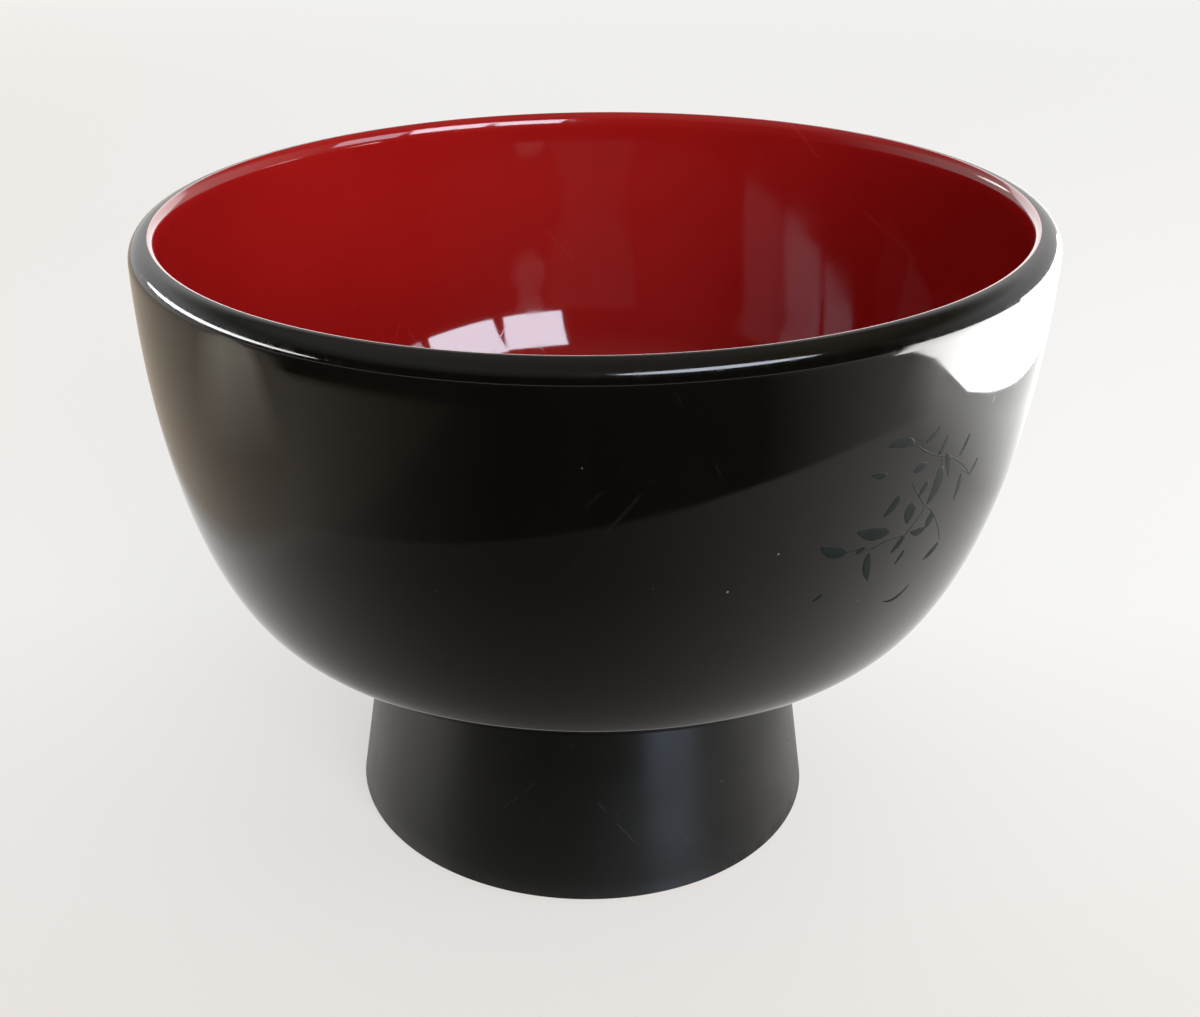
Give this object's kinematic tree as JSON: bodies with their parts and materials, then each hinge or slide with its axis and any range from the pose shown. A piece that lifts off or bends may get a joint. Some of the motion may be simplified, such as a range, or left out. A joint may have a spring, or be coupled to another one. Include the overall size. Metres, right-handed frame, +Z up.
{
  "type": "lacquer soup bowl",
  "caption": "Round lacquered soup bowl with a rounded lip, a deep red inside, a gloss black outside and a tall flared foot ring that it stands on.",
  "frame": {"origin": "centre of the flat ring face that the foot stands on", "axes": "+Z up along the bowl's turning axis; +X and +Y level, with -Y towards the side that the picture shows"},
  "size_m": [0.12, 0.12, 0.09],
  "materials": {
    "turned_wood": "turned, sealed, matte",
    "pasted_linen": "plain weave stiffened with paste, matte",
    "ground_coat": "rubbed flat, matte",
    "red_lacquer": "polished, high gloss",
    "black_lacquer": "polished, high gloss",
    "satin_black_lacquer": "satin, lightly scratched"
  },
  "bodies": {
    "root": {"bowl_body": "turned_wood", "foot_ring": "turned_wood", "lip_cloth": "pasted_linen", "well_cloth": "pasted_linen", "foot_cloth": "pasted_linen", "bowl_inner_ground": "ground_coat", "bowl_outer_ground": "ground_coat", "foot_ground": "ground_coat", "bowl_red_coat": "red_lacquer", "bowl_black_coat": "black_lacquer", "foot_black_coat": "satin_black_lacquer", "foot_recess_coat": "satin_black_lacquer"}
  },
  "joints": []
}
